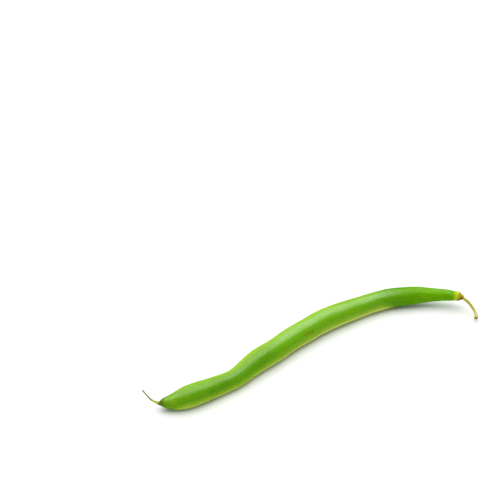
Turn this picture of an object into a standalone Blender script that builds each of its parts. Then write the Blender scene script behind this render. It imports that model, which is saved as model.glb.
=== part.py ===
"""Green bean: one picked pod with its dried calyx and its stalk, lying on a flat surface.

Metres, +Z up. The pod runs along X, from its beak at -X to its stalk at +X, and bows towards +Y.
The origin is on the surface, under the middle of the whole bean.
Sizes below are in millimetres and degrees, as on the real bean, and MM turns them into metres.
"""

import math

import bmesh
import bpy
from mathutils import Vector

MM = 0.001

# Pod: lengths along its backbone start at the beak, and the style before it is negative
POD_LENGTH = 130.3
STYLE_LENGTH = 7.6
THICKNESS_SHARE = 0.88  # across the two sides, against the width from seam to seam
SEAM_TILT = math.radians(52.0)  # the upper seam's height above the horizon, on the +Y side
SEAM_TWIST = math.radians(-10.0)  # how far the seams turn from beak to stalk
SEAM_LEAN = math.radians(8.0)  # how far each seam lies round towards the near side
REST_CUT = 0.14  # how much of the round underside the flat spots take off

# Distance along the backbone, then X and Y
BACKBONE = (
    (-7.6, -65.5, 3.4),
    (-5.3, -64.7, 1.6),
    (-2.9, -63.9, -0.4),
    (-1.4, -63.0, -1.5),
    (0.0, -61.7, -2.5),
    (7.6, -54.4, -4.6),
    (16.0, -46.0, -4.7),
    (28.0, -34.4, -3.7),
    (32.0, -30.6, -2.8),
    (36.0, -26.5, -1.2),
    (42.0, -20.8, 0.7),
    (50.0, -13.4, 2.6),
    (58.0, -5.4, 5.3),
    (66.0, 2.2, 7.1),
    (74.0, 10.2, 8.9),
    (90.0, 25.8, 10.1),
    (102.0, 38.0, 9.7),
    (112.0, 47.4, 6.7),
    (122.0, 56.3, 2.1),
    (130.3, 62.9, -3.0),
)

# Distance along the backbone, then the width from seam to seam
GIRTH = (
    (-7.6, 0.6),
    (-4.5, 0.64),
    (-2.4, 0.8),
    (0.0, 1.45),
    (1.5, 3.4),
    (3.5, 4.9),
    (6.0, 6.5),
    (8.0, 7.5),
    (10.0, 8.1),
    (13.0, 8.25),
    (21.0, 7.55),
    (27.0, 7.1),
    (31.0, 7.3),
    (36.0, 7.95),
    (41.0, 8.6),
    (50.0, 8.6),
    (66.0, 8.8),
    (80.0, 8.7),
    (92.0, 7.9),
    (104.0, 7.6),
    (112.0, 7.0),
    (116.0, 6.3),
    (120.0, 5.25),
    (126.0, 4.25),
    (128.5, 3.9),
    (129.6, 3.5),
    (130.3, 3.05),
)

# Distance along the backbone, then how far the underside is raised off the surface
LIFT = (
    (-7.6, 5.7),
    (-5.3, 4.5),
    (-2.9, 3.6),
    (-1.4, 3.1),
    (0.0, 2.3),
    (1.5, 1.45),
    (3.5, 0.72),
    (6.0, 0.2),
    (8.5, 0.0),
    (16.0, 0.0),
    (98.0, 0.0),
    (104.0, 0.2),
    (112.0, 0.9),
    (122.0, 2.4),
    (130.3, 3.75),
)

# Seam relief, as shares of the local width
RIB_HEIGHT = 0.028
RIB_INSET = 0.020  # keeps the ribs within the girth
RIB_REACH = math.radians(15.0)
GROOVE_DEPTH = 0.034
GROOVE_REACH = math.radians(4.5)
RELIEF_STARTS = 1.5
RELIEF_FULL = 9.0
RELIEF_ENDS = 126.0

# Seeds, which swell the pod's two sides
SEED_FIRST = 17.0
SEED_PITCH = 13.2
SEED_COUNT = 8
SEED_REACH = 4.6
SEED_SWELL = 0.26

# The pod's stalk end, which closes as a low dome
DOME = (
    (2.6, 0.18),
    (1.5, 0.28),
)

# The line that the calyx and the stalk follow on from the pod's end: X, Y and Z
STEM_LINE = (
    (63.6, -4.0, 5.05),
    (64.2, -5.6, 4.75),
    (64.7, -7.05, 4.25),
    (65.05, -8.55, 3.6),
    (65.1, -10.35, 2.8),
    (64.85, -12.0, 2.15),
    (64.0, -13.4, 1.6),
)

# Calyx: distance along the stem line, radius, and how much of the lobes shows there
CALYX = (
    (0.66, 0.6, 0.0),
    (0.60, 1.15, 1.0),
    (0.80, 1.28, 1.0),
    (1.10, 1.10, 0.5),
    (1.45, 0.85, 0.1),
    (1.55, 0.55, 0.0),
)
LOBES = 5
LOBE_REACH = 0.24

# Stalk: distances along the stem line, and radii
STALK_START = 1.9
STALK_RADIUS = 0.66
STALK_WAIST = 0.60
STALK_KNOB = 0.85
STALK_KNOB_LENGTH = 1.8
STALK_RIBS = 5
STALK_RIB_SHARE = 0.06

# Mesh fineness
POD_SIDES = 36
POD_STEP = 1.5
BASE_STEP = 0.55
STYLE_STEP = 0.8
SEAM_CROWDING = 0.30  # draws the sides of a section together near the seams
CALYX_SIDES = 25
STALK_SIDES = 20
STALK_STEP = 0.6

UP = Vector((0.0, 0.0, 1.0))


def smooth_value(points, at):
    """A smooth curve through rows of (distance, value, ...), read at one distance, as a tuple of values."""
    last = len(points) - 1
    i = next((n for n in range(last) if at <= points[n + 1][0]), last - 1)
    p, q = points[i], points[i + 1]
    before, after = points[max(i - 1, 0)], points[min(i + 2, last)]
    span = q[0] - p[0]
    t = min(max((at - p[0]) / span, 0.0), 1.0)
    rise = t * t * (3.0 - 2.0 * t)
    leave = t * (1.0 - t) ** 2 * span
    arrive = t * t * (t - 1.0) * span
    found = []
    for k in range(1, len(p)):
        slope_p = (q[k] - before[k]) / (q[0] - before[0])
        slope_q = (after[k] - p[k]) / (after[0] - p[0])
        found.append(p[k] + (q[k] - p[k]) * rise + slope_p * leave + slope_q * arrive)
    return tuple(found)


def ramp(at, start, end):
    """0 before start, 1 after end, and smooth between them."""
    t = min(max((at - start) / (end - start), 0.0), 1.0)
    return t * t * (3.0 - 2.0 * t)


def seam_angle(at):
    """How far above the horizon the upper seam stands at this distance."""
    return SEAM_TILT + SEAM_TWIST * ramp(at, 0.0, POD_LENGTH)


def backbone_height(at):
    """Height of the backbone: the section's own reach below it, less the flat spots, plus the lift."""
    (width,) = smooth_value(GIRTH, at)
    (lift,) = smooth_value(LIFT, at)
    half = width / 2.0
    tilt = seam_angle(at)
    reach = math.hypot(half * math.sin(tilt), half * THICKNESS_SHARE * math.cos(tilt))
    return reach - REST_CUT * ramp(at, 0.0, RELIEF_FULL) + lift


def backbone_point(at):
    x, y = smooth_value(BACKBONE, at)
    return Vector((x, y, backbone_height(at)))


def frame_at(at, point_of, ends, reach=0.4):
    """Middle, direction, level side and rising side of a section at this distance."""
    ahead = point_of(min(at + reach, ends[1]))
    behind = point_of(max(at - reach, ends[0]))
    along = (ahead - behind).normalized()
    level = UP.cross(along).normalized()
    return point_of(at), along, level, along.cross(level).normalized()


def side_angle(spoke, sides):
    """Angle of one corner of a pod section round from its top, with the corners drawn in to both seams."""
    turn = math.tau * spoke / sides
    return turn - SEAM_CROWDING * math.sin(2.0 * turn) - SEAM_LEAN * math.cos(turn)


def seed_swelling(at):
    found = 0.0
    for seed in range(SEED_COUNT):
        found += math.exp(-(((at - SEED_FIRST - seed * SEED_PITCH) / SEED_REACH) ** 2))
    return SEED_SWELL * found


def pod_section(at, angle):
    """Distances of one surface point from the backbone, along the seam line and across the pod's sides."""
    (width,) = smooth_value(GIRTH, at)
    relief = ramp(at, RELIEF_STARTS, RELIEF_FULL) * (1.0 - ramp(at, RELIEF_ENDS - 12.0, RELIEF_ENDS))
    off_seam = abs(math.remainder(angle + SEAM_LEAN * math.cos(angle), math.pi))
    rib = RIB_HEIGHT * math.exp(-((off_seam / RIB_REACH) ** 2))
    groove = GROOVE_DEPTH * math.exp(-((off_seam / GROOVE_REACH) ** 2))
    radius = width * (0.5 + relief * (rib - groove - RIB_INSET))
    flatness = 1.0 - (1.0 - THICKNESS_SHARE) * ramp(at, 0.0, RELIEF_FULL)
    across = radius * flatness * math.sin(angle)
    across += relief * seed_swelling(at) * math.sin(angle) ** 3
    return radius * math.cos(angle), across


def loft(sides, stations, point_of):
    """A closed body made by extruding one ring of corners from station to station."""
    bm = bmesh.new()
    spoke = bm.verts.layers.int.new("spoke")
    ring = bmesh.ops.create_circle(bm, cap_ends=True, segments=sides, radius=1.0)["verts"]
    for n, vert in enumerate(ring):
        vert[spoke] = n
        vert.co = point_of(stations[0], n) * MM
    for station in stations[1:]:
        rim = set(ring)
        edges = [e for e in bm.edges if rim.issuperset(e.verts)]
        made = bmesh.ops.extrude_edge_only(bm, edges=edges)["geom"]
        ring = [part for part in made if isinstance(part, bmesh.types.BMVert)]
        for vert in ring:
            vert.co = point_of(station, vert[spoke]) * MM
    bmesh.ops.contextual_create(bm, geom=ring)
    return bm


def finish(name, bm, coat):
    bmesh.ops.recalc_face_normals(bm, faces=bm.faces)
    mesh = bpy.data.meshes.new(name)
    bm.to_mesh(mesh)
    bm.free()
    mesh.shade_smooth()
    mesh.materials.append(coat)
    bpy.context.scene.collection.objects.link(bpy.data.objects.new(name, mesh))


def spread(start, end, step):
    """Distances from start to end, both included, about a step apart."""
    count = max(1, round((end - start) / step))
    return [start + (end - start) * n / count for n in range(count + 1)]


def material(name, colour, roughness):
    made = bpy.data.materials.new(name)
    made.use_nodes = True
    shader = made.node_tree.nodes["Principled BSDF"]
    shader.inputs["Base Color"].default_value = (*colour, 1.0)
    shader.inputs["Roughness"].default_value = roughness
    shader.inputs["Metallic"].default_value = 0.0
    return made


def rest_flats(bm):
    """Cuts the underside off level with the surface, and closes the flat spots."""
    whole = list(bm.verts) + list(bm.edges) + list(bm.faces)
    bmesh.ops.bisect_plane(bm, geom=whole, dist=1e-7, plane_co=(0, 0, 0), plane_no=UP, clear_inner=True)
    open_edges = [e for e in bm.edges if e.is_boundary]
    bmesh.ops.holes_fill(bm, edges=open_edges, sides=0)


def make_pod():
    """The pod, with its beak and its thread of a style at one end and its swollen base at the other."""
    ends = (-STYLE_LENGTH, POD_LENGTH)

    def place(station, spoke):
        at, dome = station
        middle, along, level, rising = frame_at(at, backbone_point, ends)
        tilt = seam_angle(at)
        seam = level * math.cos(tilt) + rising * math.sin(tilt)
        side = seam.cross(along)
        angle = side_angle(spoke, POD_SIDES)
        if dome:
            width, beyond = dome
            return middle + along * beyond + (seam * math.cos(angle) + side * math.sin(angle)) * width / 2.0
        out, across = pod_section(at, angle)
        return middle + seam * out + side * across

    marks = spread(-STYLE_LENGTH, 0.0, STYLE_STEP)
    marks += spread(0.0, POD_LENGTH - 4.0, POD_STEP)[1:]
    marks += spread(POD_LENGTH - 4.0, POD_LENGTH, BASE_STEP)[1:]
    stations = [(at, None) for at in marks] + [(POD_LENGTH, dome) for dome in DOME]
    bm = loft(POD_SIDES, stations, place)
    rest_flats(bm)
    finish("pod", bm, material("pod_skin", (0.12, 0.33, 0.006), 0.42))


def stem_rows():
    """The stem line as rows of (distance, x, y, z), from just inside the pod's end."""
    end, along, _, _ = frame_at(POD_LENGTH, backbone_point, (-STYLE_LENGTH, POD_LENGTH))
    rows = [(-1.0, *(end - along)), (0.0, *end)]
    for point in STEM_LINE:
        step = (Vector(point) - Vector(rows[-1][1:])).length
        rows.append((rows[-1][0] + step, *point))
    return rows


def make_calyx(rows):
    """The dried calyx, a shallow cup with five short lobes between the pod and the stalk."""

    def middle_of(at):
        return Vector(smooth_value(rows, at))

    def place(station, spoke):
        at, radius, lobes = station
        middle, _, level, rising = frame_at(at, middle_of, (-1.0, rows[-1][0]))
        turn = math.tau * spoke / CALYX_SIDES
        radius += LOBE_REACH * lobes * math.cos(LOBES * turn)
        return middle + (level * math.cos(turn) + rising * math.sin(turn)) * radius

    finish("calyx", loft(CALYX_SIDES, CALYX, place), material("calyx_husk", (0.24, 0.19, 0.02), 0.8))


def stalk_radius(at, end):
    """Thicker at the foot, waisted in the middle, with a knob where it broke off the plant."""
    foot = 1.0 - ramp(at, STALK_START, STALK_START + 4.0)
    knob = ramp(at, end - STALK_KNOB_LENGTH, end - 0.4)
    return STALK_WAIST + (STALK_RADIUS - STALK_WAIST) * foot + (STALK_KNOB - STALK_WAIST) * knob


def make_stalk(rows):
    """The stalk, lightly ribbed, which bends over and droops to its broken end."""
    end = rows[-1][0]

    def middle_of(at):
        return Vector(smooth_value(rows, at))

    def place(station, spoke):
        at, share = station
        middle, _, level, rising = frame_at(at, middle_of, (-1.0, end))
        turn = math.tau * spoke / STALK_SIDES
        radius = stalk_radius(at, end) * share
        radius *= 1.0 + STALK_RIB_SHARE * math.cos(STALK_RIBS * turn)
        return middle + (level * math.cos(turn) + rising * math.sin(turn)) * radius

    stations = [(STALK_START, 0.8)]
    stations += [(at, 1.0) for at in spread(STALK_START + 0.12, end - 0.15, STALK_STEP)]
    stations += [(end, 0.82)]
    finish("stalk", loft(STALK_SIDES, stations, place), material("stalk_bark", (0.38, 0.37, 0.045), 0.6))


def main():
    for obj in list(bpy.data.objects):
        bpy.data.objects.remove(obj)
    make_pod()
    rows = stem_rows()
    make_calyx(rows)
    make_stalk(rows)


main()
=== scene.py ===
"""Looks of one green bean: the finished pod, its dried calyx and its stalk, on a white surface.

Metres, +Z up, in the CAD model's frame.
The shape values below are in millimetres, as in the CAD source, with more detail at both ends.
"""

import math

import bmesh
import bpy
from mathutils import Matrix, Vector, noise


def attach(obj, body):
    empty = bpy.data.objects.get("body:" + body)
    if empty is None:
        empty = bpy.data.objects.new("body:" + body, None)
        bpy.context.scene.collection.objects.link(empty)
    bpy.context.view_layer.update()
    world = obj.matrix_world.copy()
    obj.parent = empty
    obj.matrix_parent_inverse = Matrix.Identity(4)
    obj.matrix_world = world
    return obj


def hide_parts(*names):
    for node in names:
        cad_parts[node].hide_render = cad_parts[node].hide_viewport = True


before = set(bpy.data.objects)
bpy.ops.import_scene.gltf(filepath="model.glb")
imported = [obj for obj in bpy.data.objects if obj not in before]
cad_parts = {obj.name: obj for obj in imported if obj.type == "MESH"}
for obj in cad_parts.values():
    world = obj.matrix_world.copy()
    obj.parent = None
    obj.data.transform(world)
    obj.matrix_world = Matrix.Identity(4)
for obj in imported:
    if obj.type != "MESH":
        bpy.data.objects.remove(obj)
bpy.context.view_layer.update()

MM = 0.001
UP = Vector((0.0, 0.0, 1.0))

# Pod, in mm along its backbone from the beak; the style before it is negative
POD_LENGTH = 130.3
STYLE_LENGTH = 7.6
THICKNESS_SHARE = 0.88
SEAM_TILT = math.radians(52.0)
SEAM_TWIST = math.radians(-10.0)
SEAM_LEAN = math.radians(8.0)
REST_CUT = 0.14

# Distance along the backbone, then X and Y
BACKBONE = (
    (-7.6, -65.5, 3.4),
    (-5.3, -64.7, 1.6),
    (-2.9, -63.9, -0.4),
    (-1.4, -63.0, -1.5),
    (0.0, -61.7, -2.5),
    (7.6, -54.4, -4.6),
    (16.0, -46.0, -4.7),
    (28.0, -34.4, -3.7),
    (32.0, -30.6, -2.8),
    (36.0, -26.5, -1.2),
    (42.0, -20.8, 0.7),
    (50.0, -13.4, 2.6),
    (58.0, -5.4, 5.3),
    (66.0, 2.2, 7.1),
    (74.0, 10.2, 8.9),
    (90.0, 25.8, 10.1),
    (102.0, 38.0, 9.7),
    (112.0, 47.4, 6.7),
    (122.0, 56.3, 2.1),
    (130.3, 62.9, -3.0),
)

# Distance along the backbone, then the width from seam to seam
GIRTH = (
    (-7.6, 0.46),
    (-4.5, 0.5),
    (-2.4, 0.66),
    (-1.2, 0.9),
    (0.0, 1.45),
    (1.5, 3.4),
    (3.5, 4.9),
    (6.0, 6.5),
    (8.0, 7.5),
    (10.0, 8.1),
    (13.0, 8.25),
    (21.0, 7.55),
    (27.0, 7.1),
    (31.0, 7.3),
    (36.0, 7.95),
    (41.0, 8.6),
    (50.0, 8.6),
    (66.0, 8.8),
    (80.0, 8.7),
    (92.0, 7.9),
    (104.0, 7.6),
    (112.0, 7.0),
    (116.0, 6.3),
    (120.0, 5.25),
    (126.0, 4.25),
    (127.9, 3.85),
    (128.5, 3.7),
    (129.3, 3.65),
    (130.0, 3.4),
    (130.3, 3.0),
)

# Distance along the backbone, then how far the underside is raised off the surface
LIFT = (
    (-7.6, 5.7),
    (-5.3, 4.5),
    (-2.9, 3.6),
    (-1.4, 3.1),
    (0.0, 2.3),
    (1.5, 1.45),
    (3.5, 0.72),
    (6.0, 0.2),
    (8.5, 0.0),
    (16.0, 0.0),
    (98.0, 0.0),
    (104.0, 0.2),
    (112.0, 0.9),
    (122.0, 2.4),
    (130.3, 3.75),
)

# Seam relief: heights as shares of the local width, and where it comes in and fades out along the pod
RIB_HEIGHT = 0.028
RIB_INSET = 0.020
RIB_REACH = math.radians(15.0)
GROOVE_DEPTH = 0.034
GROOVE_REACH = math.radians(4.5)
RELIEF_STARTS = 1.5
RELIEF_FULL = 9.0
RELIEF_FADES = 114.0
RELIEF_ENDS = 126.0

# Bands of colour along the seams: a pale line beside each, the rim on it, and wide lime sides; on the lower
# side the pale line and the lime are partly painted light from the floor
SEAM_EDGE = math.radians(19.0)
SEAM_BAND = math.radians(11.0)
RIM_BAND = math.radians(19.0)
LIME_BAND = math.radians(62.0)
# The bands' share on the upper seam; on the lower seam they are full, and there the lime and the pale line
# are partly painted light from the floor
UPPER_SHARE = 0.3
# Where the bands fade out early towards the neck, which paints shade on the neck's lower side
BANDS_FADE = (97.0, 108.0)

# Seeds, which swell the pod's two sides
SEED_FIRST = 17.0
SEED_PITCH = 13.2
SEED_COUNT = 8
SEED_REACH = 4.6
SEED_SWELL = 0.26

# Low unevenness of the skin, sunk in a little so that it stays within the CAD model
UNEVEN_DEPTH = 0.07
UNEVEN_LENGTH = 7.0
UNEVEN_ROUND = 0.9
UNEVEN_SUNK = 0.8

# Fine ridges that the skin draws into at both ends: where they come in and fade out, and how they wander
RIDGE_COUNT = 17
RIDGE_HEIGHT = 0.035
BEAK_RIDGES = ((0.0, 3.0), (4.0, 14.0))
NECK_RIDGES = ((106.0, 120.0), (127.0, 128.4))
RIDGE_WANDER = 3.2
RIDGE_WANDER_LENGTH = 9.0

# The pod's width from which its unevenness and ridges have their full height
FULL_RELIEF_WIDTH = 4.0

# The pod's stalk end, as (width, distance beyond its end)
DOME = (
    (2.6, 0.18),
    (1.9, 0.24),
    (1.0, 0.26),
)

# The line that the calyx and the stalk follow on from the pod's end: X, Y and Z, and how deep it is rooted
STEM_LINE = (
    (63.6, -4.0, 5.05),
    (64.2, -5.6, 4.75),
    (64.7, -7.05, 4.25),
    (65.05, -8.55, 3.6),
    (65.1, -10.35, 2.8),
    (64.85, -12.0, 2.15),
    (64.0, -13.4, 1.6),
)
STEM_ROOT = 1.0

# Calyx: distance along the stem line, and radius; the last rows turn in to close on the stalk
CALYX_CUP = (
    (0.34, 0.55),
    (0.30, 1.15),
    (0.42, 1.30),
    (0.70, 1.28),
    (1.05, 1.12),
    (1.40, 0.90),
    (1.62, 0.76),
    (1.66, 0.55),
)

# The cup's wrinkles and corners as shares of its radius, how close its wrinkles lie round it and along it,
# and the radius at which its grain is taken
CUP_WRINKLE = 0.07
CUP_CORNERS = 0.05
CUP_WRINKLES_ROUND = 3.0
CUP_WRINKLES_ALONG = 2.0
CUP_GRAIN_RADIUS = 1.2

# Calyx lobes: where they root, their length and how it varies, how far they lean, their wavy edge, and the
# radius at which their grain is taken
LOBES = 5
LOBE_ROOT = 0.75
LOBE_LENGTH = 1.15
LOBE_SHORTER = 0.85
LOBE_VARIES = 0.35
LOBE_LEAN = 0.5
LOBE_CURL = 0.06
LOBE_WAVES = 7.0
LOBE_THICKNESS = 0.16
LOBE_GRAIN_RADIUS = 0.4

# Distance from a lobe's root as a share of its length, then radius from the stem line, and half width
LOBE_SHAPE = (
    (0.0, 1.10, 0.50),
    (0.2, 1.32, 0.58),
    (0.5, 1.62, 0.50),
    (0.8, 1.86, 0.30),
    (1.0, 2.00, 0.05),
)

# Stalk: distances along the stem line, radii, its ribs and how they wander, and its unevenness
STALK_START = 1.5
STALK_RADIUS = 0.66
STALK_WAIST = 0.60
STALK_KNOB = 0.85
STALK_FOOT_LENGTH = 4.0
STALK_KNOB_LENGTH = 1.8
STALK_KNOB_FULL = 0.4
STALK_RIBS = 5
STALK_RIB_SHARE = 0.07
STALK_RIBS_WANDER = 0.35
STALK_UNEVEN = 0.04
STALK_UNEVEN_ROUND = 1.5
STALK_UNEVEN_ALONG = 0.9
STALK_CHAMFER = 0.12

# The stalk's broken end, from rim to hollowed middle: share of the radius, and how deep it is sunk
STALK_END = (
    (0.93, 0.02),
    (0.80, 0.0),
    (0.62, 0.05),
    (0.45, 0.16),
    (0.2, 0.24),
)

# Rows of the broken end over which its brown pith comes in
PITH_ROWS = (0.6, 2.6)

# Mesh fineness: corners round each section, steps in mm, and how far the corners crowd to the seams
POD_SIDES = 96
POD_STEP = 0.6
STYLE_STEP = 0.25
BEAK_LENGTH = 10.0
BEAK_STEP = 0.35
BASE_LENGTH = 5.0
BASE_STEP = 0.14
SEAM_CROWDING = 0.34
CALYX_SIDES = 60
LOBE_SIDES = 12
LOBE_STEP = 0.08
STALK_SIDES = 40
STALK_STEP = 0.12

# The grain that all the skins share, and its fibre length, fibre width and fleck size on each, in mm
GRAIN = "plant_grain"
POD_GRAIN = (9.0, 0.6, 0.55)
HUSK_GRAIN = (1.6, 0.22, 0.25)
STALK_GRAIN = (2.6, 0.2, 0.3)

# Every mask below is two values of a pattern, a band or a place along the piece: where its effect comes in,
# and where it is full

# The two greens that the skin drifts between
SKIN_DEEP = (88, 153, 0)
SKIN_FRESH = (102, 166, 0)
SKIN_MASK = (0.3, 0.7)

# Greens of the pod's stretches: where each comes in and is full, its colour, and how strong it is
STRETCHES = (
    (10.0, 4.0, (122, 176, 0), 0.8),
    (42.0, 62.0, (118, 184, 0), 0.7),
    # This darker green at the neck's start is partly the pod's own and partly painted shade
    (90.0, 106.0, (90, 155, 0), 0.9),
    (110.0, 120.0, (102, 169, 0), 0.9),
)

# The same for the beak and its thread, and for the swollen base, whose yellow starts up to so many mm early
BEAK_STRETCHES = (
    (5.0, 1.0, (86, 138, 6), 0.4),
    (2.2, 0.4, (86, 116, 16), 1.0),
    (0.0, -0.8, (168, 176, 52), 1.0),
    (-1.8, -3.2, (78, 84, 10), 1.0),
)
BASE_STRETCHES = (
    (128.6, 130.6, (184, 206, 30), 1.0),
    (130.4, 131.2, (206, 160, 20), 0.7),
)
BASE_UNEVEN = 1.8

# Streaks and flecks in the skin: colours, and how strong they are on the middle and at the drawn-in ends
DRAWN_BEAK = (16.0, 4.0)
DRAWN_NECK = (104.0, 122.0)
STREAK = (142, 192, 0)
STREAK_MASK = (0.5, 0.75)
STREAK_SHARES = (0.15, 0.6)
SHADE = (74, 136, 0)
SHADE_MASK = (0.48, 0.28)
SHADE_SHARES = (0.12, 0.4)
FLECK = (148, 196, 8)
FLECK_MASK = (0.5, 0.72)
FLECK_SHARE = 0.24

# Colours beside the seams and on them, how strong they are, and where they gain on the beak's half
RIM = (150, 190, 0)
RIM_MASK = (0.06, 0.26)
RIM_SHARES = (0.3, 0.65)
RIM_GAINS = (10.0, 30.0)
# The lime is partly the pod's own colour and partly painted light from the floor on its lower side
LIME = (172, 214, 46)
LIME_MASK = (0.1, 0.9)
LIME_SHARE = 0.9
# The pale line is partly the seam rib's own colour and partly painted light from the floor along the lower
# edge
SEAM_PALE = (216, 220, 132)
SEAM_MASK = (0.2, 0.9)
SEAM_SHARES = (0.4, 0.8)
SEAM_GAINS = (28.0, 48.0)

# How far red, green and blue light spreads through the flesh, in mm, and how much of it does
FLESH_SHARE = 0.5
FLESH_REACH = (1.8, 3.0, 0.3)

# How rough and how strong the skin's gloss is, and its mirror colour
SKIN_ROUGHNESS = (0.22, 0.31)
ROUGHNESS_MASK = (0.35, 0.7)
SKIN_GLOSS = 0.25
GLOSS_TINT = (1.0, 0.8, 0.25, 1.0)

# The thin wax on the skin: where it thins to the beak and to the neck, and its share there
WAX_FROM_BEAK = (44.0, 62.0)
WAX_TO_NECK = (96.0, 112.0)
BEAK_WAX = 0.62
NECK_WAX = 0.05

# Its share on the seams' rims, and how much is lost in the lime bands of the beak's half
RIM_WAX = 0.0
LIME_WAX_MASK = (0.22, 0.28)
LIME_LOSS_FADES = (56.0, 40.0)
LIME_WAX_LOSS = 0.5

# Its patches and how close together they lie, its specks, and its gloss
WAX_PATCHES = (0.5, 1.0)
WAX_PATCH_MASK = (0.3, 0.7)
WAX_PATCH_SCALE = 1.1
WAX_SPECKS = 0.3
WAX_SPECK_MASK = (0.56, 0.7)
WAX_ROUGHNESS = 0.27
WAX_IOR = 1.74

# Depths of the skin's fine relief, in mm, how much of its fibres shows on the middle and at the drawn-in
# ends, and how close together its dimples lie
FIBRE_DEPTH = 0.06
FIBRE_SHARES = (0.3, 1.0)
DIMPLE_DEPTH = 0.24
DIMPLE_SCALE = 0.45
FLECK_DEPTH = 0.009

# Brown scars on the skin: their colour, then place in mm, radius in mm, and how strong
SCAR = (138, 102, 0)
BLEMISHES = (
    ((-0.2, 3.0, 5.9), 1.2, 0.5),
    ((1.4, 3.4, 5.8), 1.2, 0.45),
    ((2.9, 3.9, 5.7), 1.2, 0.6),
    ((-10.4, 0.0, 5.3), 1.3, 0.3),
    ((12.2, 5.8, 6.2), 0.9, 0.2),
    ((-30.9, 0.0, 3.6), 1.0, 0.4),
    ((21.9, 13.3, 4.4), 1.4, 0.35),
)

# Where the husk and the stalk drift between their two tones, and where their fibres make them rougher
TONE_MASK = (0.35, 0.65)
DULL_MASK = (0.3, 0.7)

# The calyx's two tones, its dried brown, and the dried side's middle and reach, in mm
HUSK_TONES = ((142, 130, 20), (196, 190, 48))
DRIED = (96, 68, 14)
DRIED_MASK = (0.1, 0.7)
DRIED_PLACE = (63.1, -5.0, 4.74)
DRIED_REACH = 1.7

# How the brown comes in along the lobes to their tips, and how its flecks weaken and strengthen it
TIP_MASK = (0.3, 1.0)
TIP_SHARE = 0.8
DRIED_FLECK_MASK = (0.25, 0.6)
DRIED_FLECK_SHARES = (0.6, 1.2)

# The husk's roughness, gloss and depth of its fibres, in mm
HUSK_ROUGHNESS = (0.65, 0.85)
HUSK_GLOSS = 0.3
HUSK_FIBRE_DEPTH = 0.07

# The stalk's two tones, those towards its broken end, and the colours of its foot, flecks and pith
STALK_TONES = ((148, 148, 24), (198, 202, 66))
STALK_END_TONES = ((172, 160, 78), (224, 214, 150))
STALK_END_MASK = (0.4, 0.9)
STALK_FOOT = (120, 104, 24)
STALK_FOOT_MASK = (0.1, 0.0)
STALK_FOOT_SHARE = 0.6
STALK_FLECK = (128, 108, 36)
STALK_FLECK_MASK = (0.58, 0.72)
STALK_FLECK_SHARE = 0.35
PITH = (98, 74, 34)

# The stalk's roughness and gloss, how light spreads in it, and the depth of its fibres, in mm
STALK_ROUGHNESS = (0.5, 0.7)
STALK_GLOSS = 0.35
STALK_FLESH_SHARE = 0.08
STALK_FLESH_REACH = (0.8, 0.8, 0.3)
STALK_FLESH_SCALE = 0.6
STALK_FIBRE_DEPTH = 0.05

# Camera, seen from the photograph's side
VIEW_AZIMUTH = math.radians(-26.83)
VIEW_ELEVATION = math.radians(38.0)
VIEW_DISTANCE = 0.560
VIEW_CENTRE = Vector((0.0077, 0.06436, 0.0))
LENS = 100.0
SENSOR = 36.0
CLIP = (0.01, 20.0)

# Overhead light: width in degrees and strength of each layer, and how far it leans to the right and away
LIGHT_LAYERS = ((96.0, 1.0), (82.0, 1.0), (68.0, 1.0))
LIGHT_LEAN = (-0.06, 0.32)

# Room and floor: how strong each is on the bean and in its gloss, and the floor's reach and own finish
ROOM_STRENGTH = 0.42
ROOM_IN_GLOSS = 0.0
FLOOR_REACH = 4.0
FLOOR_WHITE = 0.9
FLOOR_ROUGHNESS = 0.9
FLOOR_GLOSS = 0.1
FLOOR_IN_GLOSS = 0.02


def smooth_value(points, at):
    """A smooth curve through rows of (distance, value, ...), read at one distance, as a tuple of values."""
    last = len(points) - 1
    i = next((n for n in range(last) if at <= points[n + 1][0]), last - 1)
    p, q = points[i], points[i + 1]
    before, after = points[max(i - 1, 0)], points[min(i + 2, last)]
    span = q[0] - p[0]
    t = min(max((at - p[0]) / span, 0.0), 1.0)
    rise = t * t * (3.0 - 2.0 * t)
    leave = t * (1.0 - t) ** 2 * span
    arrive = t * t * (t - 1.0) * span
    found = []
    for k in range(1, len(p)):
        slope_p = (q[k] - before[k]) / (q[0] - before[0])
        slope_q = (after[k] - p[k]) / (after[0] - p[0])
        found.append(p[k] + (q[k] - p[k]) * rise + slope_p * leave + slope_q * arrive)
    return tuple(found)


def ramp(at, start, end):
    """0 before start, 1 after end, and smooth between them."""
    t = min(max((at - start) / (end - start), 0.0), 1.0)
    return t * t * (3.0 - 2.0 * t)


def spread(start, end, step):
    """Distances from start to end, both included, about a step apart."""
    count = max(1, round((end - start) / step))
    return [start + (end - start) * n / count for n in range(count + 1)]


def seam_angle(at):
    """How far above the horizon the upper seam stands at this distance."""
    return SEAM_TILT + SEAM_TWIST * ramp(at, 0.0, POD_LENGTH)


def backbone_height(at):
    """Height of the backbone: the section's own reach below it, less the flat spots, plus the lift."""
    (width,) = smooth_value(GIRTH, at)
    (lift,) = smooth_value(LIFT, at)
    half = width / 2.0
    tilt = seam_angle(at)
    reach = math.hypot(half * math.sin(tilt), half * THICKNESS_SHARE * math.cos(tilt))
    return reach - REST_CUT * ramp(at, 0.0, RELIEF_FULL) + lift


def backbone_point(at):
    x, y = smooth_value(BACKBONE, at)
    return Vector((x, y, backbone_height(at)))


def frame_at(at, point_of, ends, reach=0.4):
    """Middle, direction, level side and rising side of a section at this distance."""
    ahead = point_of(min(at + reach, ends[1]))
    behind = point_of(max(at - reach, ends[0]))
    along = (ahead - behind).normalized()
    level = UP.cross(along).normalized()
    return point_of(at), along, level, along.cross(level).normalized()


def side_angle(spoke, sides):
    """Angle of one corner of a pod section round from its top, with the corners drawn in to both seams."""
    turn = math.tau * spoke / sides
    return turn - SEAM_CROWDING * math.sin(2.0 * turn) - SEAM_LEAN * math.cos(turn)


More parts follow.
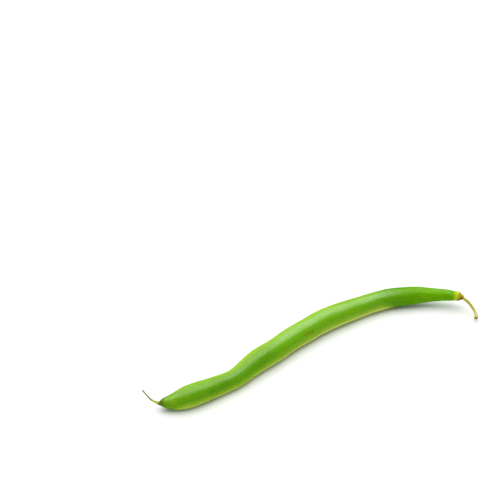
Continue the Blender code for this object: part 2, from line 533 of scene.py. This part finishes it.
def off_seam(angle):
    """How far round a point lies from the nearer seam."""
    return abs(math.remainder(angle + SEAM_LEAN * math.cos(angle), math.pi))


def seed_nearness(at):
    """1 over the middle of a seed, falling to 0 between two."""
    found = 0.0
    for seed in range(SEED_COUNT):
        found += math.exp(-(((at - SEED_FIRST - seed * SEED_PITCH) / SEED_REACH) ** 2))
    return found


def relief_share(at):
    """How strong the seams' and the seeds' relief is at this distance."""
    return ramp(at, RELIEF_STARTS, RELIEF_FULL) * (1.0 - ramp(at, RELIEF_FADES, RELIEF_ENDS))


def skin_height(at, angle, width):
    """Low unevenness and the fine ridges at both ends, in mm out from the plain section."""
    place = Vector((at / UNEVEN_LENGTH, math.cos(angle) * UNEVEN_ROUND, math.sin(angle) * UNEVEN_ROUND))
    uneven = (noise.noise(place) - UNEVEN_SUNK) * UNEVEN_DEPTH / 2.0 * relief_share(at)
    near_ends = 0.0
    for comes_in, fades_out in (BEAK_RIDGES, NECK_RIDGES):
        near_ends += ramp(at, *comes_in) * (1.0 - ramp(at, *fades_out))
    wander = noise.noise(Vector((at / RIDGE_WANDER_LENGTH, math.cos(angle), math.sin(angle))))
    ridge = math.sin(RIDGE_COUNT * angle + wander * RIDGE_WANDER) * RIDGE_HEIGHT * near_ends
    return (uneven + ridge) * min(1.0, width / FULL_RELIEF_WIDTH)


def pod_section(at, angle):
    """Distances of one surface point from the backbone, along the seam line and across the pod's sides."""
    (width,) = smooth_value(GIRTH, at)
    relief = relief_share(at)
    rib = RIB_HEIGHT * math.exp(-((off_seam(angle) / RIB_REACH) ** 2))
    groove = GROOVE_DEPTH * math.exp(-((off_seam(angle) / GROOVE_REACH) ** 2))
    radius = width * (0.5 + relief * (rib - groove - RIB_INSET)) + skin_height(at, angle, width)
    flatness = 1.0 - (1.0 - THICKNESS_SHARE) * ramp(at, 0.0, RELIEF_FULL)
    across = radius * flatness * math.sin(angle)
    across += relief * SEED_SWELL * seed_nearness(at) * math.sin(angle) ** 3
    return radius * math.cos(angle), across


def loft(sides, stations, point_of):
    """A closed body made by extruding one ring of corners from station to station.

    Each corner keeps its spoke and its station's number, for the patterns that follow the surface.
    """
    bm = bmesh.new()
    spoke = bm.verts.layers.int.new("spoke")
    row = bm.verts.layers.int.new("row")
    ring = bmesh.ops.create_circle(bm, cap_ends=True, segments=sides, radius=1.0)["verts"]
    for n, vert in enumerate(ring):
        vert[spoke] = n
        vert.co = point_of(stations[0], n) * MM
    rim = list(bm.edges)
    for number, station in enumerate(stations[1:], 1):
        made = bmesh.ops.extrude_edge_only(bm, edges=rim)["geom"]
        ring = [part for part in made if isinstance(part, bmesh.types.BMVert)]
        fresh = set(ring)
        edges = [part for part in made if isinstance(part, bmesh.types.BMEdge)]
        rim = [edge for edge in edges if fresh.issuperset(edge.verts)]
        for vert in ring:
            vert[row] = number
            vert.co = point_of(station, vert[spoke]) * MM
    bmesh.ops.contextual_create(bm, geom=ring)
    return bm


def piece(name, bm, coat, node=None):
    """A finished mesh piece that rides with the bean, and stands for its CAD node if one is named."""
    bmesh.ops.recalc_face_normals(bm, faces=bm.faces)
    mesh = bpy.data.meshes.new(name)
    bm.to_mesh(mesh)
    bm.free()
    mesh.shade_smooth()
    mesh.materials.append(coat)
    obj = bpy.data.objects.new(name, mesh)
    bpy.context.scene.collection.objects.link(obj)
    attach(obj, "root")
    if node:
        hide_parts(node)
    return obj


def mark(bm, name, value_of):
    """Writes a number on every corner of a mesh, as an attribute that a material can read."""
    layer = bm.verts.layers.float.new(name)
    for vert in bm.verts:
        vert[layer] = value_of(vert)


def rest_flats(bm):
    """Cuts the underside off level with the surface, and closes the flat spots."""
    whole = list(bm.verts) + list(bm.edges) + list(bm.faces)
    bmesh.ops.bisect_plane(bm, geom=whole, dist=1e-7, plane_co=(0, 0, 0), plane_no=UP, clear_inner=True)
    open_edges = [e for e in bm.edges if e.is_boundary]
    bmesh.ops.holes_fill(bm, edges=open_edges, sides=0)


class Shader:
    """Short calls that add nodes to a material, a node group or the world, and return their output."""

    def __init__(self, tree):
        self.tree = tree

    def node(self, kind, **settings):
        made = self.tree.nodes.new(kind)
        for key, value in settings.items():
            setattr(made, key, value)
        return made

    def feed(self, socket, value):
        if isinstance(value, bpy.types.NodeSocket):
            self.tree.links.new(value, socket)
        else:
            socket.default_value = value

    def set(self, name, value):
        self.feed(self.tree.nodes["Principled BSDF"].inputs[name], value)

    def place(self):
        return self.node("ShaderNodeTexCoord").outputs["Object"]

    def attribute(self, name, kind="Fac"):
        return self.node("ShaderNodeAttribute", attribute_name=name).outputs[kind]

    def math(self, operation, a, b=0.0):
        made = self.node("ShaderNodeMath", operation=operation)
        self.feed(made.inputs[0], a)
        self.feed(made.inputs[1], b)
        return made.outputs[0]

    def between(self, value, low, high, first=0.0, last=1.0):
        """Maps low..high to first..last smoothly, and holds still outside."""
        made = self.node("ShaderNodeMapRange", interpolation_type="SMOOTHSTEP")
        for socket, number in zip(made.inputs, (value, low, high, first, last)):
            self.feed(socket, number)
        return made.outputs[0]

    def mix(self, share, first, second):
        """Mixes two colours, whose sockets are the node's inputs 6 and 7 and its output 2."""
        made = self.node("ShaderNodeMix", data_type="RGBA")
        self.feed(made.inputs[0], share)
        self.feed(made.inputs[6], first)
        self.feed(made.inputs[7], second)
        return made.outputs[2]

    def mix_number(self, share, first, second):
        """Mixes two numbers, whose sockets are the same node's inputs 2 and 3 and its output 0."""
        made = self.node("ShaderNodeMix", data_type="FLOAT")
        self.feed(made.inputs[0], share)
        self.feed(made.inputs[2], first)
        self.feed(made.inputs[3], second)
        return made.outputs[0]

    def noise(self, vector, scale=1.0, detail=3.0):
        made = self.node("ShaderNodeTexNoise")
        self.feed(made.inputs["Vector"], vector)
        made.inputs["Scale"].default_value = scale
        made.inputs["Detail"].default_value = detail
        return made.outputs["Fac"]

    def spot(self, centre, radius):
        """1 at a place on the piece, falling smoothly to 0 at the radius."""
        made = self.node("ShaderNodeVectorMath", operation="DISTANCE")
        self.feed(made.inputs[0], self.place())
        made.inputs[1].default_value = [c * MM for c in centre]
        return self.between(made.outputs["Value"], 0.0, radius * MM, 1.0, 0.0)

    def bump(self, height, distance, normal=None):
        """Raises the shading by up to a distance in mm."""
        made = self.node("ShaderNodeBump")
        made.inputs["Distance"].default_value = distance * MM
        self.feed(made.inputs["Height"], height)
        if normal is not None:
            self.feed(made.inputs["Normal"], normal)
        return made.outputs[0]

    def grain(self, sizes):
        """The shared plant grain with this piece's own sizes: its fibres, flecks and patches."""
        made = self.node("ShaderNodeGroup", node_tree=bpy.data.node_groups[GRAIN])
        self.feed(made.inputs["Place"], self.attribute("grain_place", "Vector"))
        for name, size in zip(("Fibre Length", "Fibre Width", "Fleck Size"), sizes):
            made.inputs[name].default_value = size
        return [made.outputs[name] for name in ("Fibres", "Flecks", "Patches")]

    def times(self, *shares):
        """The product of all the shares."""
        made = shares[0]
        for share in shares[1:]:
            made = self.math("MULTIPLY", made, share)
        return made

    def stretches(self, at, colour, table):
        """Lays each colour of a table over the one before, from one place along the piece to another."""
        for start, end, stretch, share in table:
            colour = self.mix(self.between(at, start, end, 0.0, share), colour, rgb(*stretch))
        return colour

    def tones(self, value, tones):
        """Drifts from the first tone to the second as the value passes its middle."""
        return self.mix(self.between(value, *TONE_MASK), rgb(*tones[0]), rgb(*tones[1]))


def rgb(red, green, blue):
    """A colour as seen on a screen, 0 to 255, turned to the linear values that a shader takes."""
    shares = [c / 255.0 for c in (red, green, blue)]
    return (*[s / 12.92 if s <= 0.04045 else ((s + 0.055) / 1.055) ** 2.4 for s in shares], 1.0)


def grey(share):
    return (share, share, share, 1.0)


def make_grain():
    """The grain that all the bean's skins share: fibres along it, small flecks, and large soft patches."""
    tree = bpy.data.node_groups.new(GRAIN, "ShaderNodeTree")
    tree.interface.new_socket("Place", in_out="INPUT", socket_type="NodeSocketVector")
    for name in ("Fibre Length", "Fibre Width", "Fleck Size"):
        tree.interface.new_socket(name, in_out="INPUT", socket_type="NodeSocketFloat")
    for name in ("Fibres", "Flecks", "Patches"):
        tree.interface.new_socket(name, in_out="OUTPUT", socket_type="NodeSocketFloat")
    s = Shader(tree)
    given = s.node("NodeGroupInput").outputs
    found = s.node("NodeGroupOutput").inputs

    def shrunk(length, width):
        sizes = s.node("ShaderNodeCombineXYZ")
        s.feed(sizes.inputs[0], length)
        s.feed(sizes.inputs[1], width)
        s.feed(sizes.inputs[2], width)
        made = s.node("ShaderNodeVectorMath", operation="DIVIDE")
        s.feed(made.inputs[0], given["Place"])
        s.feed(made.inputs[1], sizes.outputs[0])
        return made.outputs[0]

    s.feed(found["Fibres"], s.noise(shrunk(given["Fibre Length"], given["Fibre Width"]), 1.0, 4.0))
    s.feed(found["Flecks"], s.noise(shrunk(given["Fleck Size"], given["Fleck Size"]), 1.0, 2.0))
    s.feed(found["Patches"], s.noise(shrunk(given["Fibre Length"], given["Fibre Length"]), 0.9, 2.0))


def new_material(name):
    material = bpy.data.materials.new(name)
    material.use_nodes = True
    return material, Shader(material.node_tree)


def skin_colour(s, along, grain, ends, patchy):
    """Drifting green with its streaks and flecks, lime sides, pale seams, the two ends and the scars."""
    fibres, flecks, patches = grain
    colour = s.mix(s.between(patches, *SKIN_MASK), rgb(*SKIN_DEEP), rgb(*SKIN_FRESH))
    # The stretches' darker green at the neck's start is partly painted shade
    colour = s.stretches(along, colour, STRETCHES)
    streaky = s.times(s.between(fibres, *STREAK_MASK), s.between(ends, 0.0, 1.0, *STREAK_SHARES))
    colour = s.mix(streaky, colour, rgb(*STREAK))
    shady = s.times(s.between(fibres, *SHADE_MASK), s.between(ends, 0.0, 1.0, *SHADE_SHARES))
    colour = s.mix(shady, colour, rgb(*SHADE))
    colour = s.mix(s.between(flecks, *FLECK_MASK, 0.0, FLECK_SHARE), colour, rgb(*FLECK))

    rim = s.between(s.attribute("rim"), *RIM_MASK)
    colour = s.mix(s.times(rim, s.between(along, *RIM_GAINS, *RIM_SHARES)), colour, rgb(*RIM))
    # Lime sides, partly painted light from the floor on the lower side
    colour = s.mix(s.between(s.attribute("lime"), *LIME_MASK, 0.0, LIME_SHARE), colour, rgb(*LIME))
    # Pale line beside the seams, partly painted light from the floor along the lower edge
    seam = s.between(s.attribute("seam"), *SEAM_MASK)
    colour = s.mix(s.times(seam, s.between(along, *SEAM_GAINS, *SEAM_SHARES)), colour, rgb(*SEAM_PALE))

    colour = s.stretches(along, colour, BEAK_STRETCHES)
    border = s.math("ADD", along, s.times(patchy, BASE_UNEVEN))
    colour = s.stretches(border, colour, BASE_STRETCHES)
    for centre, radius, depth in BLEMISHES:
        colour = s.mix(s.times(s.spot(centre, radius), depth), colour, rgb(*SCAR))
    return colour


def skin_wax(s, along, flecks, patchy):
    """How much wax lies on the skin: most on the middle stretch, patchy, and specked all over."""
    off_beak = s.between(along, *WAX_FROM_BEAK, BEAK_WAX, 1.0)
    off_neck = s.between(along, *WAX_TO_NECK, 1.0, NECK_WAX)
    off_rim = s.between(s.attribute("rim"), *RIM_MASK, 1.0, RIM_WAX)
    lost = s.between(along, *LIME_LOSS_FADES, 0.0, LIME_WAX_LOSS)
    off_lime = s.math("SUBTRACT", 1.0, s.times(s.between(s.attribute("lime"), *LIME_WAX_MASK), lost))
    wax = s.times(off_beak, off_neck, off_rim, off_lime, s.between(patchy, *WAX_PATCH_MASK, *WAX_PATCHES))
    return s.math("ADD", wax, s.between(flecks, *WAX_SPECK_MASK, 0.0, WAX_SPECKS))


def pod_skin():
    """Fresh green skin with its wax, its soft flesh under it, and its fine relief."""
    material, s = new_material("pod_skin")
    along = s.attribute("along")
    place = s.attribute("grain_place", "Vector")
    grain = s.grain(POD_GRAIN)
    fibres, flecks, _ = grain
    ends = s.math("ADD", s.between(along, *DRAWN_BEAK), s.between(along, *DRAWN_NECK))
    patchy = s.noise(place, WAX_PATCH_SCALE, 2.0)
    s.set("Base Color", skin_colour(s, along, grain, ends, patchy))

    s.set("Roughness", s.between(flecks, *ROUGHNESS_MASK, *SKIN_ROUGHNESS))
    s.set("Specular IOR Level", SKIN_GLOSS)
    s.set("Specular Tint", GLOSS_TINT)
    s.set("Coat Weight", skin_wax(s, along, flecks, patchy))
    s.set("Coat Roughness", WAX_ROUGHNESS)
    s.set("Coat IOR", WAX_IOR)
    s.set("Subsurface Weight", FLESH_SHARE)
    s.set("Subsurface Radius", FLESH_REACH)
    s.set("Subsurface Scale", MM)

    drawn = s.bump(s.times(fibres, s.between(ends, 0.0, 1.0, *FIBRE_SHARES)), FIBRE_DEPTH)
    dimpled = s.bump(s.noise(place, DIMPLE_SCALE, 2.0), DIMPLE_DEPTH, drawn)
    s.set("Normal", s.bump(flecks, FLECK_DEPTH, dimpled))
    return material


def husk():
    """The dried calyx: yellow-olive, turned dark brown on its near underside and at its lobes' tips."""
    material, s = new_material("calyx_husk")
    fibres, flecks, _ = s.grain(HUSK_GRAIN)
    tips = s.between(s.attribute("edge"), *TIP_MASK, 0.0, TIP_SHARE)
    dried = s.math("ADD", s.spot(DRIED_PLACE, DRIED_REACH), tips)
    dried = s.times(dried, s.between(flecks, *DRIED_FLECK_MASK, *DRIED_FLECK_SHARES))
    s.set("Base Color", s.mix(s.between(dried, *DRIED_MASK), s.tones(fibres, HUSK_TONES), rgb(*DRIED)))
    s.set("Roughness", s.between(fibres, *DULL_MASK, *HUSK_ROUGHNESS))
    s.set("Specular IOR Level", HUSK_GLOSS)
    s.set("Normal", s.bump(fibres, HUSK_FIBRE_DEPTH))
    return material


def bark():
    """The stalk's skin: yellow-olive, paler towards its broken end, with brown pith in its middle."""
    material, s = new_material("stalk_bark")
    along = s.attribute("along")
    fibres, flecks, _ = s.grain(STALK_GRAIN)
    to_end = s.between(along, *STALK_END_MASK)
    colour = s.mix(to_end, s.tones(fibres, STALK_TONES), s.tones(fibres, STALK_END_TONES))
    at_foot = s.between(along, *STALK_FOOT_MASK, 0.0, STALK_FOOT_SHARE)
    colour = s.mix(at_foot, colour, rgb(*STALK_FOOT))
    flecked = s.between(flecks, *STALK_FLECK_MASK, 0.0, STALK_FLECK_SHARE)
    colour = s.mix(flecked, colour, rgb(*STALK_FLECK))
    s.set("Base Color", s.mix(s.attribute("pith"), colour, rgb(*PITH)))
    s.set("Roughness", s.between(fibres, *DULL_MASK, *STALK_ROUGHNESS))
    s.set("Specular IOR Level", STALK_GLOSS)
    s.set("Subsurface Weight", STALK_FLESH_SHARE)
    s.set("Subsurface Radius", STALK_FLESH_REACH)
    s.set("Subsurface Scale", STALK_FLESH_SCALE * MM)
    s.set("Normal", s.bump(fibres, STALK_FIBRE_DEPTH))
    return material


def mark_place(bm, stations, sides, angle_of, radius_of):
    """Writes each corner's place on the straightened piece, so that patterns run along it unbroken."""
    layer = bm.verts.layers.float_vector.new("grain_place")
    spoke = bm.verts.layers.int["spoke"]
    row = bm.verts.layers.int["row"]
    for vert in bm.verts:
        at = stations[vert[row]]
        turn = angle_of(vert[spoke], sides)
        radius = radius_of(at)
        vert[layer] = (at, math.cos(turn) * radius, math.sin(turn) * radius)


def make_pod():
    """The pod with its beak, its thread of a style and its swollen base."""
    ends = (-STYLE_LENGTH, POD_LENGTH)

    def place(station, spoke):
        at, dome = station
        middle, along, level, rising = frame_at(at, backbone_point, ends)
        tilt = seam_angle(at)
        seam = level * math.cos(tilt) + rising * math.sin(tilt)
        side = seam.cross(along)
        angle = side_angle(spoke, POD_SIDES)
        if dome:
            width, beyond = dome
            spread_out = seam * math.cos(angle) + side * math.sin(angle)
            return middle + along * beyond + spread_out * width / 2.0
        out, across = pod_section(at, angle)
        return middle + seam * out + side * across

    marks = spread(-STYLE_LENGTH, 0.0, STYLE_STEP)
    marks += spread(0.0, BEAK_LENGTH, BEAK_STEP)[1:]
    marks += spread(BEAK_LENGTH, POD_LENGTH - BASE_LENGTH, POD_STEP)[1:]
    marks += spread(POD_LENGTH - BASE_LENGTH, POD_LENGTH, BASE_STEP)[1:]
    stations = [(at, None) for at in marks] + [(POD_LENGTH, dome) for dome in DOME]
    distances = marks + [POD_LENGTH + beyond for _, beyond in DOME]
    bm = loft(POD_SIDES, stations, place)
    spoke = bm.verts.layers.int["spoke"]
    row = bm.verts.layers.int["row"]

    def nearness(vert, band, edge=0.0):
        """How strong a band beside the seams is at a corner, with less of it on the upper seam."""
        angle = side_angle(vert[spoke], POD_SIDES)
        # Less on the upper seam; on the lower seam the lime and the pale line are partly painted light from
        # the floor
        upper = (1.0 + math.cos(angle)) / 2.0
        at = distances[vert[row]]
        # The early fade towards the neck paints shade on the neck's lower side
        strength = relief_share(at) * (1.0 - ramp(at, *BANDS_FADE)) * (1.0 - (1.0 - UPPER_SHARE) * upper)
        return strength * math.exp(-(((off_seam(angle) - edge) / band) ** 2))

    def radius_at(at):
        return smooth_value(GIRTH, min(at, POD_LENGTH))[0] / 2.0

    mark(bm, "along", lambda vert: distances[vert[row]])
    mark(bm, "rim", lambda vert: nearness(vert, RIM_BAND))
    mark(bm, "seam", lambda vert: nearness(vert, SEAM_BAND, SEAM_EDGE))
    mark(bm, "lime", lambda vert: nearness(vert, LIME_BAND))
    mark_place(bm, distances, POD_SIDES, side_angle, radius_at)
    rest_flats(bm)
    piece("pod_fine", bm, pod_skin(), "pod")


def stem_rows():
    """The stem line as rows of (distance, x, y, z), from just inside the pod's end."""
    end, along, _, _ = frame_at(POD_LENGTH, backbone_point, (-STYLE_LENGTH, POD_LENGTH))
    rows = [(-STEM_ROOT, *(end - along * STEM_ROOT)), (0.0, *end)]
    for point in STEM_LINE:
        step = (Vector(point) - Vector(rows[-1][1:])).length
        rows.append((rows[-1][0] + step, *point))
    return rows


def even_angle(spoke, sides):
    return math.tau * spoke / sides


def make_calyx(rows):
    """The dried calyx: a wrinkled shallow cup, with small lobes curled back over the pod's end."""
    coat = husk()

    def middle_of(at):
        return Vector(smooth_value(rows, at))

    def around(at, turn, radius):
        middle, _, level, rising = frame_at(at, middle_of, (-STEM_ROOT, rows[-1][0]))
        return middle + (level * math.cos(turn) + rising * math.sin(turn)) * radius

    def cup_point(station, spoke):
        at, radius = station
        turn = even_angle(spoke, CALYX_SIDES)
        round_it = (math.cos(turn) * CUP_WRINKLES_ROUND, math.sin(turn) * CUP_WRINKLES_ROUND)
        wrinkle = noise.noise(Vector((*round_it, at * CUP_WRINKLES_ALONG)))
        radius *= 1.0 + CUP_WRINKLE * wrinkle + CUP_CORNERS * math.cos(LOBES * turn)
        return around(at, turn, radius)

    cup = loft(CALYX_SIDES, CALYX_CUP, cup_point)
    mark(cup, "edge", lambda vert: 0.0)
    mark_place(cup, [at for at, _ in CALYX_CUP], CALYX_SIDES, even_angle, lambda at: CUP_GRAIN_RADIUS)
    piece("calyx_cup", cup, coat, "calyx")

    for lobe in range(LOBES):
        chance = noise.noise(Vector((lobe * 1.7, 0.4, 0.2)))
        length = LOBE_LENGTH * (LOBE_SHORTER + LOBE_VARIES * chance)
        lean = LOBE_LEAN * noise.noise(Vector((lobe * 2.3, 5.0, 1.0)))
        middle_turn = math.tau * (lobe + 0.5) / LOBES

        def lobe_point(share, spoke):
            radius, half = smooth_value(LOBE_SHAPE, share)
            turn = even_angle(spoke, LOBE_SIDES)
            offset = half * math.cos(turn) + lean * share * share
            out = radius + LOBE_THICKNESS / 2.0 * math.sin(turn)
            out += LOBE_CURL * math.sin(LOBE_WAVES * share + lobe) * math.cos(turn)
            return around(LOBE_ROOT - length * share, middle_turn + offset / radius, out)

        shares = spread(0.0, 1.0, LOBE_STEP)
        leaf = loft(LOBE_SIDES, shares, lobe_point)
        row = leaf.verts.layers.int["row"]
        mark(leaf, "edge", lambda vert: shares[vert[row]])
        mark_place(leaf, shares, LOBE_SIDES, even_angle, lambda at: LOBE_GRAIN_RADIUS)
        piece("calyx_lobe_%d" % (lobe + 1), leaf, coat)


def stalk_radius(at, end):
    """Thicker at the foot, waisted in the middle, with a knob where it broke off the plant."""
    foot = 1.0 - ramp(at, STALK_START, STALK_START + STALK_FOOT_LENGTH)
    knob = ramp(at, end - STALK_KNOB_LENGTH, end - STALK_KNOB_FULL)
    return STALK_WAIST + (STALK_RADIUS - STALK_WAIST) * foot + (STALK_KNOB - STALK_WAIST) * knob


def make_stalk(rows):
    """The stalk, ribbed and slightly wrinkled, with a hollowed brown end."""
    end = rows[-1][0]

    def middle_of(at):
        return Vector(smooth_value(rows, at))

    def place(station, spoke):
        at, share, inward = station
        middle, along, level, rising = frame_at(at, middle_of, (-STEM_ROOT, end))
        turn = even_angle(spoke, STALK_SIDES)
        radius = stalk_radius(at, end) * share
        wander = noise.noise(Vector((at * STALK_RIBS_WANDER, 3.0, 1.0)))
        radius *= 1.0 - STALK_RIB_SHARE * (1.0 - math.cos(STALK_RIBS * turn + wander)) / 2.0
        round_it = (math.cos(turn) * STALK_UNEVEN_ROUND, math.sin(turn) * STALK_UNEVEN_ROUND)
        uneven = noise.noise(Vector((at * STALK_UNEVEN_ALONG, *round_it)))
        radius += STALK_UNEVEN * (uneven - 1.0)
        return middle - along * inward + (level * math.cos(turn) + rising * math.sin(turn)) * radius

    marks = spread(STALK_START, end - STALK_CHAMFER, STALK_STEP)
    stations = [(at, 1.0, 0.0) for at in marks]
    stations += [(end, share, inward) for share, inward in STALK_END]
    distances = marks + [end] * len(STALK_END)
    bm = loft(STALK_SIDES, stations, place)
    row = bm.verts.layers.int["row"]
    mark(bm, "along", lambda vert: (distances[vert[row]] - STALK_START) / (end - STALK_START))
    mark(bm, "pith", lambda vert: ramp(vert[row] - len(marks), *PITH_ROWS))
    mark_place(bm, distances, STALK_SIDES, even_angle, lambda at: stalk_radius(at, end))
    piece("stalk_fine", bm, bark(), "stalk")


def make_floor():
    """A plain white floor, far larger than the view, which shows only faintly in the bean's gloss."""
    bm = bmesh.new()
    bmesh.ops.create_grid(bm, x_segments=1, y_segments=1, size=FLOOR_REACH)
    mesh = bpy.data.meshes.new("floor")
    bm.to_mesh(mesh)
    bm.free()
    white, s = new_material("floor_white")
    mirrored = s.node("ShaderNodeLightPath").outputs["Is Glossy Ray"]
    s.set("Base Color", s.mix(mirrored, grey(FLOOR_WHITE), grey(FLOOR_IN_GLOSS)))
    s.set("Roughness", FLOOR_ROUGHNESS)
    s.set("Specular IOR Level", FLOOR_GLOSS)
    mesh.materials.append(white)
    floor = bpy.data.objects.new("floor", mesh)
    bpy.context.scene.collection.objects.link(floor)


def view_axes():
    """To the right, away from the camera along the floor, and towards the camera."""
    right = Vector((math.cos(VIEW_AZIMUTH), math.sin(VIEW_AZIMUTH), 0.0))
    away = Vector((-math.sin(VIEW_AZIMUTH), math.cos(VIEW_AZIMUTH), 0.0))
    towards = -away * math.cos(VIEW_ELEVATION) + UP * math.sin(VIEW_ELEVATION)
    return right, away, towards


def make_camera():
    """The camera, at the photograph's angle."""
    data = bpy.data.cameras.new("camera")
    data.lens = LENS
    data.sensor_width = SENSOR
    data.clip_start, data.clip_end = CLIP
    camera = bpy.data.objects.new("camera", data)
    bpy.context.scene.collection.objects.link(camera)
    towards = view_axes()[2]
    camera.location = VIEW_CENTRE + towards * VIEW_DISTANCE
    camera.rotation_euler = towards.to_track_quat("Z", "Y").to_euler()
    bpy.context.scene.camera = camera


def make_light():
    """One wide, soft light overhead, brighter towards its middle, leaning away from the camera."""
    right, away, _ = view_axes()
    lean = right * LIGHT_LEAN[0] + away * LIGHT_LEAN[1] + UP
    for width, strength in LIGHT_LAYERS:
        data = bpy.data.lights.new("overhead", "SUN")
        data.angle = math.radians(width)
        data.energy = strength
        light = bpy.data.objects.new("overhead", data)
        bpy.context.scene.collection.objects.link(light)
        light.rotation_euler = lean.to_track_quat("Z", "Y").to_euler()


def make_surroundings():
    """A room that lights the bean softly and stays out of its gloss, and a white backdrop."""
    world = bpy.data.worlds.new("studio")
    bpy.context.scene.world = world
    world.use_nodes = True
    s = Shader(world.node_tree)
    ray = s.node("ShaderNodeLightPath").outputs
    room = s.between(ray["Is Glossy Ray"], 0.0, 1.0, ROOM_STRENGTH, ROOM_IN_GLOSS)
    background = world.node_tree.nodes["Background"].inputs
    s.feed(background["Color"], grey(1.0))
    s.feed(background["Strength"], s.mix_number(ray["Is Camera Ray"], room, 1.0))
    bpy.context.scene.view_settings.view_transform = "Standard"


make_camera()
make_light()
make_surroundings()
make_floor()
make_grain()
make_pod()
stem = stem_rows()
make_calyx(stem)
make_stalk(stem)
